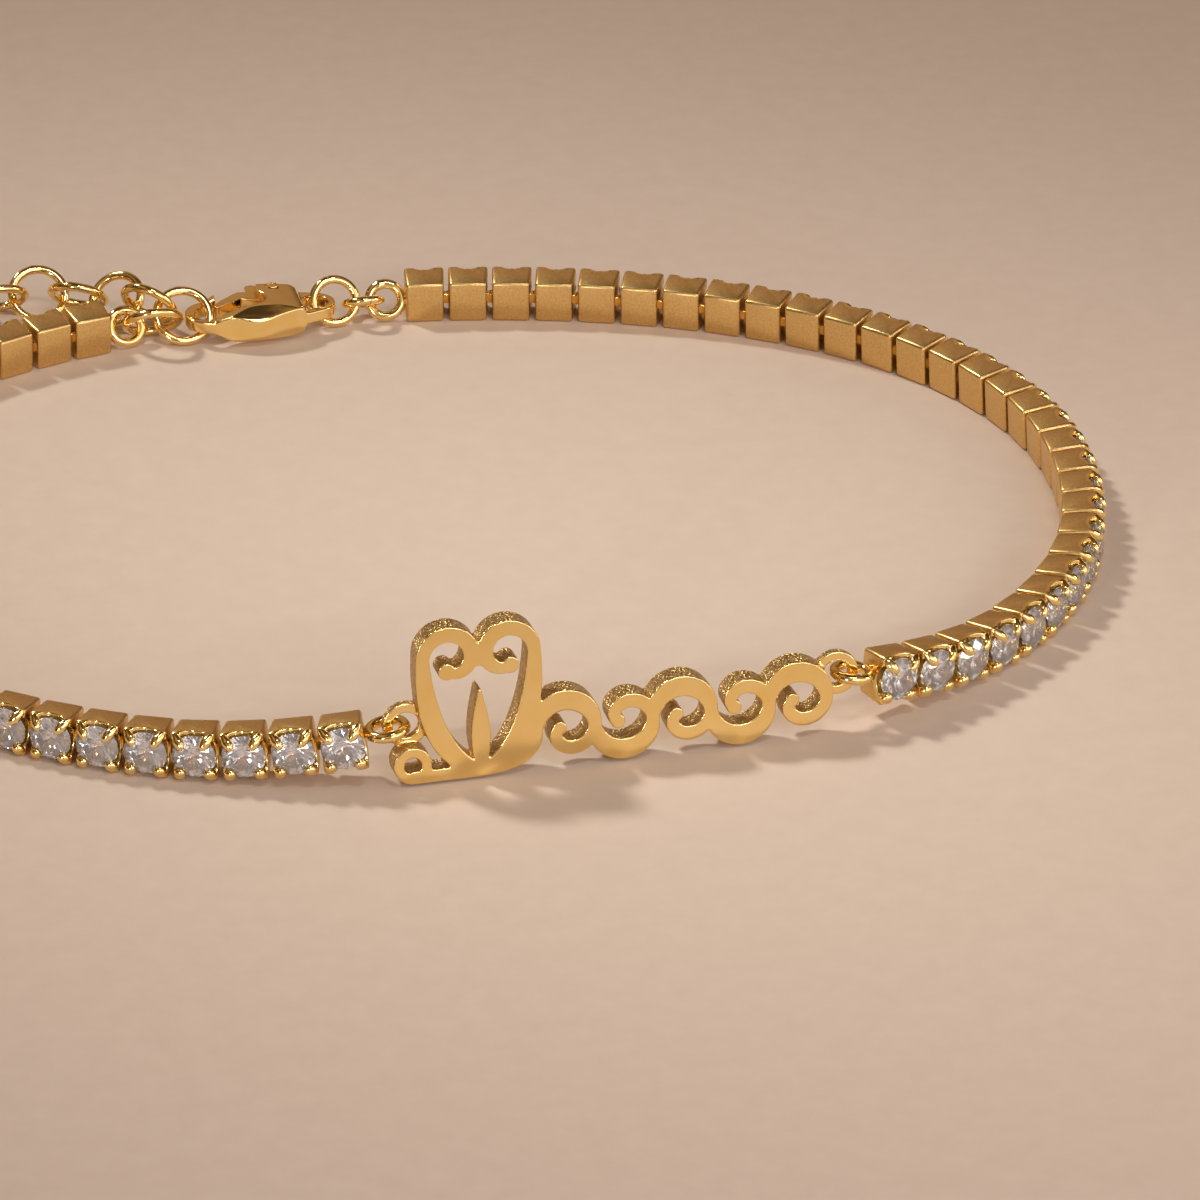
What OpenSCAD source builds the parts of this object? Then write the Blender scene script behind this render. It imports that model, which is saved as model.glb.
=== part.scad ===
// Nameplate bracelet: two rows of hinged stone settings, an openwork nameplate, a spring clasp
// and an extension chain, lying on a flat surface. Millimetres, +Z up, +X along the nameplate,
// which faces -Y. The origin is the middle of the whole piece, on the surface it lies on.

/* [Loop] */
// Number of stone settings in each of the two rows
stones_per_row = 31; // [24:1:34]
// Depth of the oval that the rows lie on, as a share of its width
loop_aspect = 0.77; // [0.70:0.01:0.90]
// How full the oval's corners are, where 2 is a true ellipse
loop_fullness = 2.2; // [2:0.05:2.4]
// How far round the oval from its front middle the nameplate lies, in degrees
plate_turn = 12; // [0:1:16]
// Height that the first link of each row is lifted beside the nameplate
row_lift = 1.1; // [1.0:0.05:1.2]
// Number of links over which that lift fades out
lift_links = 5; // [4:1:8]

/* [Settings] */
// Width of a setting along the row at its front
setting_w = 2.04; // [1.96:0.02:2.2]
// Width of a setting along the row at its back
setting_back_w = 1.88; // [1.8:0.02:1.9]
// Height of a setting at its front
setting_h = 2.35; // [2.3:0.05:2.45]
// Height of a setting at its back
setting_back_h = 2.15; // [2.05:0.05:2.2]
// Depth of a setting's box from its back to its front rim
setting_depth = 1.72; // [1.65:0.01:1.9]
// Gap between the fronts of two neighbouring settings
setting_gap = 0.16; // [0.14:0.01:0.3]

/* [Stones] */
// Diameter of a stone at its girdle
stone_d = 2.02; // [1.94:0.02:2.06]
// Width of a stone's table as a share of its diameter
table_share = 0.55; // [0.5:0.01:0.62]
// Height of the crown above the girdle
crown_h = 0.3; // [0.24:0.01:0.34]
// Depth of the pavilion below the girdle
pavilion_h = 0.8; // [0.74:0.01:0.84]
// Thickness of the girdle
girdle_t = 0.06; // [0.04:0.01:0.1]
// Clearance round a stone in its seat
seat_clear = 0.03; // [0.02:0.01:0.05]
// Depth of the girdle below a setting's front rim
rim_over_girdle = 0.06; // [0.05:0.01:0.07]

/* [Prongs] */
// Thickness of a prong
prong_d = 0.38; // [0.34:0.01:0.4]
// Distance of a prong's rounded tip from the stone's axis
prong_tip = 0.74; // [0.7:0.01:0.8]
// Clearance between a prong and the crown
prong_clear = 0.04; // [0.03:0.01:0.06]
// Depth of the scoop in the top and bottom walls
scoop_depth = 0.28; // [0.15:0.01:0.32]
// Depth of the scoop in the walls beside the neighbours
side_scoop_depth = 0.45; // [0.35:0.01:0.5]

/* [Hinges] */
// Diameter of a hinge pin
pin_d = 0.28; // [0.24:0.01:0.3]
// Clearance round and beside each hinge eye
hinge_clear = 0.12; // [0.11:0.01:0.13]
// Wall of a hinge eye round its hole
eye_wall = 0.16; // [0.14:0.01:0.18]
// Height of a hinge eye
eye_t = 0.5; // [0.4:0.05:0.6]
// Distance of a hinge pin inside its setting's face
pin_inset = 0.36; // [0.34:0.01:0.4]
// Thickness of metal between a hinge slot and the setting's back
back_wall = 0.16; // [0.12:0.01:0.2]

/* [Nameplate] */
// Distance of each end ring of the nameplate from its middle
plate_ring_x = 9.95; // [9.8:0.05:10.2]
// Height of the nameplate's end rings above the surface
plate_ring_z = 2.6; // [2.55:0.05:2.7]
// Thickness of the nameplate
plate_t = 1.2; // [1:0.05:1.5]
// Backward lean of the nameplate, in degrees
plate_lean = 6; // [0:1:10]
// Height of the tall palmette at the nameplate's left
palmette_h = 7.5; // [7.2:0.1:8]
// Width of the tall palmette
palmette_w = 6.1; // [5.8:0.1:6.4]
// Width of the flourish's main strokes
stroke_w = 1.0; // [0.9:0.05:1.1]
// Number of curls in the running vine
vine_curls = 5; // [4:1:6]

/* [Rings] */
// Outside diameter of the rings soldered to the settings
end_ring_d = 2.15; // [2.1:0.05:2.3]
// Wire of the rings soldered to the settings
end_ring_wire = 0.5; // [0.4:0.02:0.5]
// Outside diameter of the rings soldered to the nameplate
plate_ring_d = 2.1; // [2.05:0.05:2.3]
// Width and thickness of the flat rings soldered to the nameplate
plate_ring_wire = 0.45; // [0.4:0.01:0.48]
// Outside diameter of the jump ring next to the right row
small_jump_d = 2.25; // [2.2:0.05:2.4]
// Outside diameter of the jump ring in the clasp's eye
large_jump_d = 2.65; // [2.6:0.05:2.7]
// Wire of the jump rings
jump_wire = 0.45; // [0.4:0.02:0.48]

/* [Clasp] */
// Width of the clasp across its widest part
clasp_w = 4.1; // [3.9:0.1:4.3]
// Thickness of the clasp's body
clasp_t = 2.0; // [1.8:0.1:2.04]
// Thickness of the clasp's eye and of its nose
clasp_thin = 0.62; // [0.56:0.02:0.66]
// Length from the middle of the clasp's eye to the end of its nose
clasp_reach = 6.6; // [6.5:0.05:6.8]
// Diameter of the clasp's eye hole
clasp_eye_d = 1.4; // [1.35:0.05:1.45]
// Diameter of the lever's pin
clasp_pin_d = 0.6; // [0.5:0.05:0.7]
// Running clearance round the lever's pin
lever_clear = 0.03; // [0.02:0.01:0.05]
// Gap between the lever and the body around it
lever_gap = 0.12; // [0.1:0.01:0.2]
// Thickness of the lever between the body's cheeks
lever_t = 0.8; // [0.6:0.05:0.9]

/* [Extension chain] */
// Outside diameter of a chain link
link_d = 3.15; // [3.1:0.05:3.3]
// Wire of a chain link
link_wire = 0.45; // [0.4:0.02:0.5]
// Number of free links that trail from the clasp
free_links = 15; // [4:1:16]

/* [Hidden] */
gold = [0.86, 0.64, 0.28];
clear_stone = [0.9, 0.92, 0.96];
round_fn = 48;
wire_fn = 24;
scoop_fn = 12;
solder = 0.1;
link_angle = 45;
fused = 0.05;
tilt_room = 0.05;
ring_play = 0.1;

// Cuts and small parts of a setting
corner_inset = 0.23;
scoop_r = 0.8;
side_scoop_r = 0.9;
culet_r = 0.02;
culet_room = 0.06;
tongue_in = 0.2;

// Heights and reaches worked out from the sizes above
wall_tilt = atan((setting_h - setting_back_h) / 2 / setting_depth);
hinge_z = setting_back_h / 2 * cos(wall_tilt);
pitch = setting_w + setting_gap;
eye_r = pin_d / 2 + hinge_clear + eye_wall;
slot_r = eye_r + hinge_clear;
slot_h = eye_t + 2 * (hinge_clear + tilt_room);
eye_reach = pin_inset + setting_gap;
tongue_w = 2.8 * eye_wall;
back_y = slot_r + back_wall;
girdle_y = setting_depth - rim_over_girdle;
end_ring_reach = end_ring_d / 2 - solder;
first_chord = end_ring_reach + setting_w - pin_inset;
last_chord = eye_reach + setting_w + end_ring_reach;

// Centreline and inner radii of the rings
end_ring_r = (end_ring_d - end_ring_wire) / 2;
plate_ring_r = (plate_ring_d - plate_ring_wire) / 2;
small_jump_r = (small_jump_d - jump_wire) / 2;
large_jump_r = (large_jump_d - jump_wire) / 2;
link_r = (link_d - link_wire) / 2;

// The rings beside the nameplate stand and lie at right angles and interlock
ring_interlock = plate_ring_r - 0.05;
plate_span = 2 * (plate_ring_x + ring_interlock);
plate_ring_y = plate_ring_z * sin(plate_lean) + (plate_t - plate_ring_wire) / 2;
ring_drop = 0.15;
ring_level = plate_ring_z - hinge_z - row_lift - ring_drop;

// The clasp stretch, measured from the right row's end ring to the left row's
clasp_z = 1.02;
nose_gap = 0.12;
end_ring_z = 1.0;
end_ring_tilt = 60;
small_jump_u = end_ring_r + small_jump_r - (end_ring_wire + jump_wire) / 2 - ring_play;
large_jump_u = small_jump_u + small_jump_r + large_jump_r - jump_wire - ring_play;
large_jump_tilt = 60;
large_jump_z = large_jump_r * sin(large_jump_tilt) + jump_wire / 2;
clasp_eye_u = large_jump_u + large_jump_r - 0.02;
link_z = link_r * sin(link_angle) + link_wire / 2;
caught_wire_u = clasp_reach - 1.25;
caught_u = clasp_eye_u + caught_wire_u + link_r - 0.02;
first_link_u = clasp_eye_u + clasp_reach + nose_gap + link_wire / 2 + link_r;
clasp_span = first_link_u + link_r - 0.02;

// Places in the clasp's own plan, from its eye along to its nose
pivot = [1.95, 1.0];
hub_r = 0.6;
nose_w = 0.5;
nose_r = 1.3;
hook_r = 0.86;
tip_u = clasp_reach - 1.75;
belly_u = 3.1;
belly_from = 0.6;
belly_to = clasp_reach - 1.3;
belly_rise = 0.4;
belly_fall = 0.9;
eye_rim = 0.38;
pin_fit = 0.02;

// A point on the oval at an angle, for a given half width
function bulge(v) = sign(v) * pow(abs(v), 2 / loop_fullness);
function oval(t, a) = [a * bulge(cos(t)), a * loop_aspect * bulge(sin(t))];

// Lift of the row's i-th hinge above the others
function lift(i) = i >= lift_links ? 0 : row_lift * pow(1 - i / lift_links, 2);

// The angle at which a chord of length d from angle t ends, going round in direction dir
function chord_end(t, d, a, dir, lo = 0, hi = 70, n = 0) =
    n == 22 ? t + dir * (lo + hi) / 2 :
    norm(oval(t + dir * (lo + hi) / 2, a) - oval(t, a)) < d
        ? chord_end(t, d, a, dir, (lo + hi) / 2, hi, n + 1)
        : chord_end(t, d, a, dir, lo, (lo + hi) / 2, n + 1);
function link_length(i) =
    i == 0 ? first_chord : i == stones_per_row - 1 ? last_chord : pitch;
function chord_length(i) = sqrt(pow(link_length(i), 2) - pow(lift(i + 1) - lift(i), 2));
function row_angles(t, a, dir, i = 0) =
    i == stones_per_row ? [t] :
    concat([t], row_angles(chord_end(t, chord_length(i), a, dir), a, dir, i + 1));
plate_angle = plate_turn - 90;
function left_start(a) = chord_end(plate_angle, plate_span / 2, a, -1);
function right_start(a) = chord_end(left_start(a), plate_span, a, 1);
function row_end(start, a, dir) = oval(row_angles(start, a, dir)[stones_per_row], a);
function clasp_room(a) = norm(row_end(right_start(a), a, 1) - row_end(left_start(a), a, -1));

// The oval is as large as the rows, the nameplate and the clasp stretch together need
around = plate_span + 2 * (first_chord + last_chord + (stones_per_row - 2) * pitch) + clasp_span;
function fitted(lo, hi, n = 0) =
    n == 14 ? (lo + hi) / 2 :
    clasp_room((lo + hi) / 2) < clasp_span
        ? fitted((lo + hi) / 2, hi, n + 1) : fitted(lo, (lo + hi) / 2, n + 1);
oval_a = fitted(around / 6.2, around / 5);

// The oval is turned and moved so that the nameplate lies along X, over the origin of the plan
right_t = row_angles(right_start(oval_a), oval_a, 1);
left_t = row_angles(left_start(oval_a), oval_a, -1);
plate_from = oval(left_t[0], oval_a);
plate_to = oval(right_t[0], oval_a);
oval_turn = atan2(plate_to.y - plate_from.y, plate_to.x - plate_from.x);
function turned(p, a) = [p.x * cos(a) - p.y * sin(a), p.x * sin(a) + p.y * cos(a)];
function laid(t) =
    turned(oval(t, oval_a) - (plate_from + plate_to) / 2, -oval_turn) + [0, plate_ring_y];
right_row = [for (t = right_t) laid(t)];
left_row = [for (t = left_t) laid(t)];
row_end_right = right_row[stones_per_row];
row_end_left = left_row[stones_per_row];
clasp_run = row_end_left - row_end_right;
clasp_heading = atan2(clasp_run.y, clasp_run.x);

// A point of the clasp stretch in the plan, u along it and v outwards
function beside_clasp(u, v) =
    row_end_right + turned([u, -v], clasp_heading);

// The free chain's route as hand-picked points, from the caught link's middle outwards
chain_route = [[1.5, 1.33], [3.1, 2.95], [6, 4.3], [10.5, 4.4], [15.5, 2.6], [20, -0.6],
    [23.3, -5], [26, -11]];
first_free_z = 1.51;
first_free_turn = [-57.5, 0, 39.6];
chain_pitch = 2.05;
route_points = [for (p = chain_route) beside_clasp(caught_u + p.x, p.y)];
function route_lengths(i = 0, s = 0) =
    i == len(route_points) - 1 ? [s] :
    concat([s], route_lengths(i + 1, s + norm(route_points[i + 1] - route_points[i])));
route_s = route_lengths();
function on_route(s, i = 0) =
    i == len(route_s) - 2 || s < route_s[i + 1]
        ? route_points[i] + (route_points[i + 1] - route_points[i])
            * (s - route_s[i]) / (route_s[i + 1] - route_s[i])
        : on_route(s, i + 1);

// The middle of the whole piece in the plan
function outward(p, q, side) = [q.y - p.y, p.x - q.x] / norm(q - p) * side;
stone_reach = setting_depth - back_y + 0.5;
function fronts(row, side) = [for (i = [0 : stones_per_row - 1])
    (row[i] + row[i + 1]) / 2 + outward(row[i], row[i + 1], side) * stone_reach];
all_fronts = concat(fronts(right_row, 1), fronts(left_row, -1));
chain_points = [for (k = [0 : free_links - 1]) on_route(k * chain_pitch)];
chain_side = 1.25;
plan_x = (max([for (p = all_fronts) p.x])
    + min(min([for (p = all_fronts) p.x]), min([for (p = chain_points) p.x]) - chain_side)) / 2;
plan_y = (max(max([for (p = all_fronts) p.y]), max([for (p = chain_points) p.y]) + chain_side)
    + min([for (p = all_fronts) p.y])) / 2;

module in_plan() {
    translate([-plan_x, -plan_y, 0]) children();
}

// A ring lying in the XY plane
module wire_ring(r, wire) {
    rotate_extrude($fn = round_fn) translate([r, 0]) circle(d = wire, $fn = wire_fn);
}

// A flat ring of square section in the XY plane
module flat_ring(d, t) {
    difference() {
        cylinder(h = t, d = d, center = true, $fn = round_fn);
        cylinder(h = 2 * t, d = d - 2 * t, center = true, $fn = round_fn);
    }
}

// Puts a link's frame at the i-th hinge: X to the next hinge, Y out of the loop
module at_link(row, side, i) {
    step = row[i + 1] - row[i];
    rise = atan((lift(i + 1) - lift(i)) / norm(step));
    translate([row[i].x, row[i].y, hinge_z + lift(i)])
        rotate([0, -rise, atan2(step.y, step.x)])
            mirror([0, side > 0 ? 1 : 0, 0]) children();
}

// From a link's frame to its box: the back's middle, with Y along the stone's axis
module at_box(reach) {
    translate([reach + setting_w / 2, -back_y, 0]) rotate([wall_tilt, 0, 0]) children();
}

// The tapered box before anything is cut from it
module box_block() {
    intersection() {
        rotate([90, 0, 90]) linear_extrude(setting_w + 1, center = true)
            polygon([[0, -setting_back_h / 2], [setting_depth, -setting_h / 2],
                [setting_depth, setting_h / 2], [0, setting_back_h / 2]]);
        linear_extrude(setting_h + 1, center = true)
            polygon([[-setting_back_w / 2, 0], [setting_back_w / 2, 0],
                [setting_w / 2, setting_depth], [-setting_w / 2, setting_depth]]);
    }
}

// What the stone's seat and the scoops between the prongs take away
module box_cuts() {
    culet_y = girdle_y - pavilion_h;
    cone_h = pavilion_h + culet_room;
    slope = stone_d / 2 / pavilion_h;
    translate([0, culet_y - culet_room, 0]) rotate([-90, 0, 0])
        cylinder(h = cone_h, r1 = culet_r, r2 = culet_r + cone_h * slope, $fn = round_fn);
    translate([0, girdle_y - girdle_t, 0]) rotate([-90, 0, 0])
        cylinder(h = 1, d = stone_d + 2 * seat_clear, $fn = round_fn);
    translate([0, setting_depth - scoop_depth + scoop_r, 0])
        cylinder(h = setting_h + 1, r = scoop_r, center = true, $fn = scoop_fn);
    translate([0, setting_depth - side_scoop_depth + side_scoop_r, 0]) rotate([0, 90, 0])
        cylinder(h = setting_w + 1, r = side_scoop_r, center = true, $fn = scoop_fn);
}

// One prong: a round claw that leans from the corner over the crown, with a rounded tip
module prong(sx, sz) {
    corner = [setting_w / 2 - corner_inset, setting_h / 2 - corner_inset];
    corner_r = norm(corner);
    crown_slope = crown_h / (stone_d / 2 * (1 - table_share));
    over = (prong_d / 2 + prong_clear) * sqrt(1 + pow(crown_slope, 2));
    tip_y = girdle_y + girdle_t + over + crown_slope * (stone_d / 2 - prong_tip);
    root_y = tip_y - crown_slope * (corner_r - prong_tip);
    root = [sx * corner.x, root_y, sz * corner.y];
    tip = [sx * corner.x * prong_tip / corner_r, tip_y, sz * corner.y * prong_tip / corner_r];
    along = tip - root;
    r = prong_d / 2;
    long = norm(along);
    translate(root)
        rotate([0, acos(along.z / long), atan2(along.y, along.x)]) {
            cylinder(h = long, r = r, $fn = wire_fn);
            translate([0, 0, long]) sphere(r = 1.1 * r, $fn = wire_fn);
        }
}

// A whole link: its box, and at each end a hinge or a soldered ring
module setting_link(first, last) {
    reach = first ? end_ring_reach : eye_reach;
    pin_x = reach + setting_w - pin_inset;
    difference() {
        union() {
            at_box(reach) {
                difference() {
                    box_block();
                    box_cuts();
                }
                for (sx = [-1, 1], sz = [-1, 1]) prong(sx, sz);
            }
            if (!first) {
                cylinder(h = eye_t, r = eye_r, center = true, $fn = round_fn);
                translate([0, -tongue_w / 2, -eye_t / 2])
                    cube([reach + tongue_in, tongue_w, eye_t]);
            }
        }
        if (!first)
            cylinder(h = eye_t + 1, r = pin_d / 2 + hinge_clear, center = true, $fn = round_fn);
        if (!last) {
            translate([pin_x, 0, 0])
                cylinder(h = slot_h, r = slot_r, center = true, $fn = round_fn);
            translate([pin_x, -slot_r, -slot_h / 2]) cube([setting_w, 2 * slot_r, slot_h]);
        }
    }
    if (!last)
        translate([pin_x, 0, 0])
            cylinder(h = slot_h + 2 * fused, d = pin_d, center = true, $fn = wire_fn);
    if (first)
        translate([0, 0, ring_level]) wire_ring(end_ring_r, end_ring_wire);
    if (last)
        translate([reach + setting_w + end_ring_reach, 0, end_ring_z - hinge_z])
            rotate([end_ring_tilt, 0, 0]) wire_ring(end_ring_r, end_ring_wire);
}

module setting_row(row, side) {
    for (i = [0 : stones_per_row - 1])
        at_link(row, side, i) setting_link(i == 0, i == stones_per_row - 1);
}

// A round brilliant with its girdle's lower edge at zero and its table up the Z axis
module brilliant() {
    r = stone_d / 2;
    table_r = r * table_share;
    star_r = r * 0.8;
    star_h = girdle_t + crown_h * (1 - (star_r * cos(22.5) - table_r) / (r - table_r));
    low_r = r * 0.26;
    low_h = -pavilion_h * (1 - low_r * cos(22.5) / r);
    polar = function (rad, ang, h) [rad * cos(ang), rad * sin(ang), h];
    points = concat(
        [for (k = [0 : 7]) polar(table_r, 45 * k, girdle_t + crown_h)],
        [for (k = [0 : 7]) polar(star_r, 45 * k + 22.5, star_h)],
        [for (k = [0 : 15]) polar(r, 22.5 * k, girdle_t)],
        [for (k = [0 : 15]) polar(r, 22.5 * k, 0)],
        [for (k = [0 : 7]) polar(low_r, 45 * k + 22.5, low_h)],
        [[0, 0, -pavilion_h]]);
    table = 0;
    star = 8;
    top = 16;
    bottom = 32;
    low = 48;
    culet = 56;
    faces = concat(
        [[for (k = [7 : -1 : 0]) table + k]],
        [for (k = [0 : 7]) [table + k, table + (k + 1) % 8, star + k]],
        [for (k = [0 : 7]) [table + k, star + k, top + 2 * k]],
        [for (k = [0 : 7]) [table + k, top + 2 * k, star + (k + 7) % 8]],
        [for (k = [0 : 7]) [star + k, top + 2 * k + 1, top + 2 * k]],
        [for (k = [0 : 7]) [star + k, top + (2 * k + 2) % 16, top + 2 * k + 1]],
        [for (j = [0 : 15]) [top + j, top + (j + 1) % 16, bottom + (j + 1) % 16, bottom + j]],
        [for (k = [0 : 7]) [bottom + 2 * k, bottom + 2 * k + 1, low + k]],
        [for (k = [0 : 7]) [bottom + 2 * k + 1, bottom + (2 * k + 2) % 16, low + k]],
        [for (k = [0 : 7]) [bottom + 2 * k, low + k, culet]],
        [for (k = [0 : 7]) [bottom + 2 * k, culet, low + (k + 7) % 8]]);
    polyhedron(points = points, faces = faces);
}

module stone_row(row, side) {
    for (i = [0 : stones_per_row - 1])
        at_link(row, side, i) at_box(i == 0 ? end_ring_reach : eye_reach)
            translate([0, girdle_y, 0]) rotate([-90, 0, 0]) brilliant();
}

// A stroke along a path, as an outline: it narrows from w0 to w1 and swells in between
function normal_at(path, i) =
    let (a = path[max(i - 1, 0)], b = path[min(i + 1, len(path) - 1)])
    [a.y - b.y, b.x - a.x] / norm(b - a);
module stroke(path, w0, w1, swell = 0) {
    last = len(path) - 1;
    half = [for (i = [0 : last])
        (w0 + (w1 - w0) * i / last + swell * sin(180 * i / last)) / 2];
    polygon(concat([for (i = [0 : last]) path[i] + normal_at(path, i) * half[i]],
        [for (i = [last : -1 : 0]) path[i] - normal_at(path, i) * half[i]]));
    translate(path[0]) circle(d = w0, $fn = wire_fn);
    translate(path[last]) circle(d = w1, $fn = wire_fn);
}
function bezier(a, b, c, d, steps) = [for (i = [0 : steps]) let (t = i / steps, s = 1 - t)
    a * s * s * s + 3 * b * s * s * t + 3 * c * s * t * t + d * t * t * t];
function arc(c, r0, r1, from, to, power, steps) = [for (i = [0 : steps])
    let (t = i / steps, r = r0 + (r1 - r0) * pow(t, power), a = from + (to - from) * t)
    c + r * [cos(a), sin(a)]];

// Where the nameplate's motifs stand, in its own plane
palmette_inset = 0.2;
vine_inset = 2;
foot_loop_r = 0.88;
foot_loop_hole_r = 0.4;
thin_w = 0.62 * stroke_w;
palmette_x = palmette_w / 2 + palmette_inset - plate_ring_x;
vine_from = palmette_x + palmette_w * 0.415;
curl_r = (plate_ring_x - vine_inset - vine_from) / (2 * vine_curls - 1);
curl_z = curl_r + stroke_w / 2;

// One half of the palmette: a side that rises from the foot, swells and rolls in at the top
module palmette_half() {
    lobe_r = palmette_w * 0.205;
    lobe = [palmette_w / 2 - lobe_r - stroke_w / 2, palmette_h - lobe_r - thin_w / 2 - 0.12];
    foot = [0, thin_w / 2];
    roll_r = 0.5 * lobe_r;
    roll_end = 285;
    stroke(bezier(foot, [lobe.x * 1.4, thin_w / 2 + 0.55], [lobe.x + lobe_r, 3.2],
        lobe + [lobe_r, 0], 16), thin_w, thin_w, stroke_w - thin_w);
    stroke(arc(lobe, lobe_r, roll_r, 0, roll_end, 1.8, 26), thin_w, 0.5 * stroke_w,
        0.2 * stroke_w);
    translate(lobe + roll_r * [cos(roll_end), sin(roll_end)])
        circle(r = 0.4 * stroke_w, $fn = wire_fn);
}

// A tall palmette: two rolled sides joined by a bead, with a slender leaf between them
module palmette() {
    leaf_h = palmette_h * 0.56;
    leaf_w = 0.9 * stroke_w;
    leaf_foot = thin_w / 2;
    leaf = [for (i = [0 : 12])
        [sin(180 * pow(i / 12, 0.7)) * leaf_w / 2, leaf_foot + leaf_h * i / 12]];
    palmette_half();
    mirror([1, 0]) palmette_half();
    translate([0, palmette_h * 0.77]) circle(r = 0.45 * stroke_w, $fn = wire_fn);
    polygon(concat(leaf, [for (i = [11 : -1 : 1]) [-leaf[i].x, leaf[i].y]]));
    translate([0, leaf_foot]) circle(d = thin_w, $fn = wire_fn);
}

// A curl of the vine: its arch over or under, and the tendril that rolls in to a bud
module vine_curl(i) {
    middle = [vine_from + (2 * i + 1) * curl_r, curl_z];
    up = i % 2 == 0 ? 1 : -1;
    roll_r = 0.2 * curl_r;
    stroke(arc(middle, curl_r, curl_r, 180, 180 - 180 * up, 1, 18), thin_w, thin_w,
        stroke_w - thin_w);
    stroke(arc(middle, curl_r, roll_r, 0, -185 * up, 1.25, 20), thin_w, 0.45 * stroke_w,
        0.15 * stroke_w);
    translate(middle - [roll_r, 0]) circle(r = 0.34 * stroke_w, $fn = wire_fn);
}

// The nameplate's outline: palmette, foot loop and running vine
module flourish() {
    loop_at = [0.1 - plate_ring_x, foot_loop_r];
    foot = [palmette_x, thin_w / 2];
    offset(r = 0.08, $fn = 16) offset(delta = -0.08) {
        translate([palmette_x, 0]) palmette();
        difference() {
            translate(loop_at) circle(r = foot_loop_r, $fn = 32);
            translate(loop_at) circle(r = foot_loop_hole_r, $fn = 24);
        }
        stroke(bezier(loop_at - [0, foot_loop_r - thin_w / 2], foot - [2, 0],
            foot - [1, 0], foot, 10), thin_w, thin_w);
        stroke(bezier(foot, foot + [1.4, 0.1], [vine_from, 0.8], [vine_from, curl_z], 12),
            thin_w, thin_w, 0.1 * stroke_w);
        for (i = [0 : vine_curls - 1]) vine_curl(i);
    }
}

module nameplate() {
    color(gold) in_plan() translate([0, 0, plate_t / 2 * sin(plate_lean)])
        rotate([90 - plate_lean, 0, 0]) {
            linear_extrude(plate_t, center = true) flourish();
            for (side = [-1, 1])
                translate([side * plate_ring_x, plate_ring_z, (plate_ring_wire - plate_t) / 2])
                    flat_ring(plate_ring_d, plate_ring_wire);
        }
}

module right_settings() {
    color(gold) in_plan() setting_row(right_row, 1);
}

module left_settings() {
    color(gold) in_plan() setting_row(left_row, -1);
}

module right_stones() {
    color(clear_stone) in_plan() stone_row(right_row, 1);
}

module left_stones() {
    color(clear_stone) in_plan() stone_row(left_row, -1);
}

// The clasp stretch's frame: X from the right row's end ring to the left row's, Y outwards
module in_clasp_run() {
    in_plan() translate([row_end_right.x, row_end_right.y, 0]) rotate([0, 0, clasp_heading])
        mirror([0, 1, 0]) children();
}

// A ring of the clasp stretch, tilted about X and laid so that it passes through height z
module tilted_ring(u, r, wire, tilt, z) {
    lift_z = max(r * abs(sin(tilt)) + wire / 2, z);
    translate([u, (lift_z - z) / tan(tilt), lift_z]) rotate([tilt, 0, 0]) wire_ring(r, wire);
}

module small_jump_ring() {
    color(gold) in_clasp_run()
        tilted_ring(small_jump_u, small_jump_r, jump_wire, end_ring_tilt - 90, end_ring_z);
}

module large_jump_ring() {
    color(gold) in_clasp_run()
        tilted_ring(large_jump_u, large_jump_r, jump_wire, large_jump_tilt, clasp_z);
}

// The clasp's own frame: its eye at the origin, X to the nose, the lever on the +Y side
module in_clasp() {
    in_clasp_run() translate([clasp_eye_u, 0, clasp_z]) children();
}

// The clasp's outline seen from above, without its openings
module clasp_outline() {
    hull() {
        circle(r = clasp_eye_d / 2 + eye_rim, $fn = 48);
        translate([belly_u, 0]) circle(d = clasp_w, $fn = 64);
        translate([clasp_reach - nose_r, 0]) circle(r = nose_r, $fn = 48);
    }
}

// Half the clasp's thickness at a place along it: full in the belly, thin at eye and nose
function clasp_half(u) =
    let (t = min(max((u - belly_from) / (belly_to - belly_from), 0), 1))
    (clasp_thin + (clasp_t - clasp_thin)
        * pow(sin(180 * t), t < 0.5 ? belly_rise : belly_fall)) / 2;

// The clasp's outline seen from the side
module clasp_side() {
    along = concat([-2], [for (k = [0 : 20]) belly_from + (belly_to - belly_from)
        * (1 - cos(9 * k)) / 2], [clasp_reach + 1]);
    last = len(along) - 1;
    polygon(concat([for (u = along) [u, -clasp_half(u)]],
        [for (k = [last : -1 : 0]) [along[k], clasp_half(along[k])]]));
}

// The room inside the hook that the caught link lies in
module hook_room() {
    hull() {
        translate([3.3, -0.15]) circle(r = 0.8, $fn = 32);
        translate([clasp_reach - nose_w - hook_r, -0.1]) circle(r = hook_r, $fn = 32);
    }
}

module clasp_body() {
    tall = clasp_t + 1;
    gap_t = lever_t + 2 * lever_gap;
    color(gold) in_clasp() difference() {
        intersection() {
            linear_extrude(tall, center = true) clasp_outline();
            rotate([90, 0, 0]) linear_extrude(clasp_w + 1, center = true) clasp_side();
        }
        cylinder(h = tall, d = clasp_eye_d, center = true, $fn = round_fn);
        linear_extrude(tall, center = true) hook_room();
        translate([2.75, 0.42, -tall / 2]) cube([tip_u - 2.75, clasp_w, tall]);
        translate([tip_u - 0.3, 0, -tall / 2]) cube([0.67, 0.95, tall]);
        translate([pivot.x - hub_r - lever_gap, 0, -gap_t / 2]) cube([2, clasp_w, gap_t]);
        translate([pivot.x, pivot.y, 0])
            cylinder(h = tall, d = clasp_pin_d + 2 * pin_fit, center = true, $fn = round_fn);
    }
}

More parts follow.
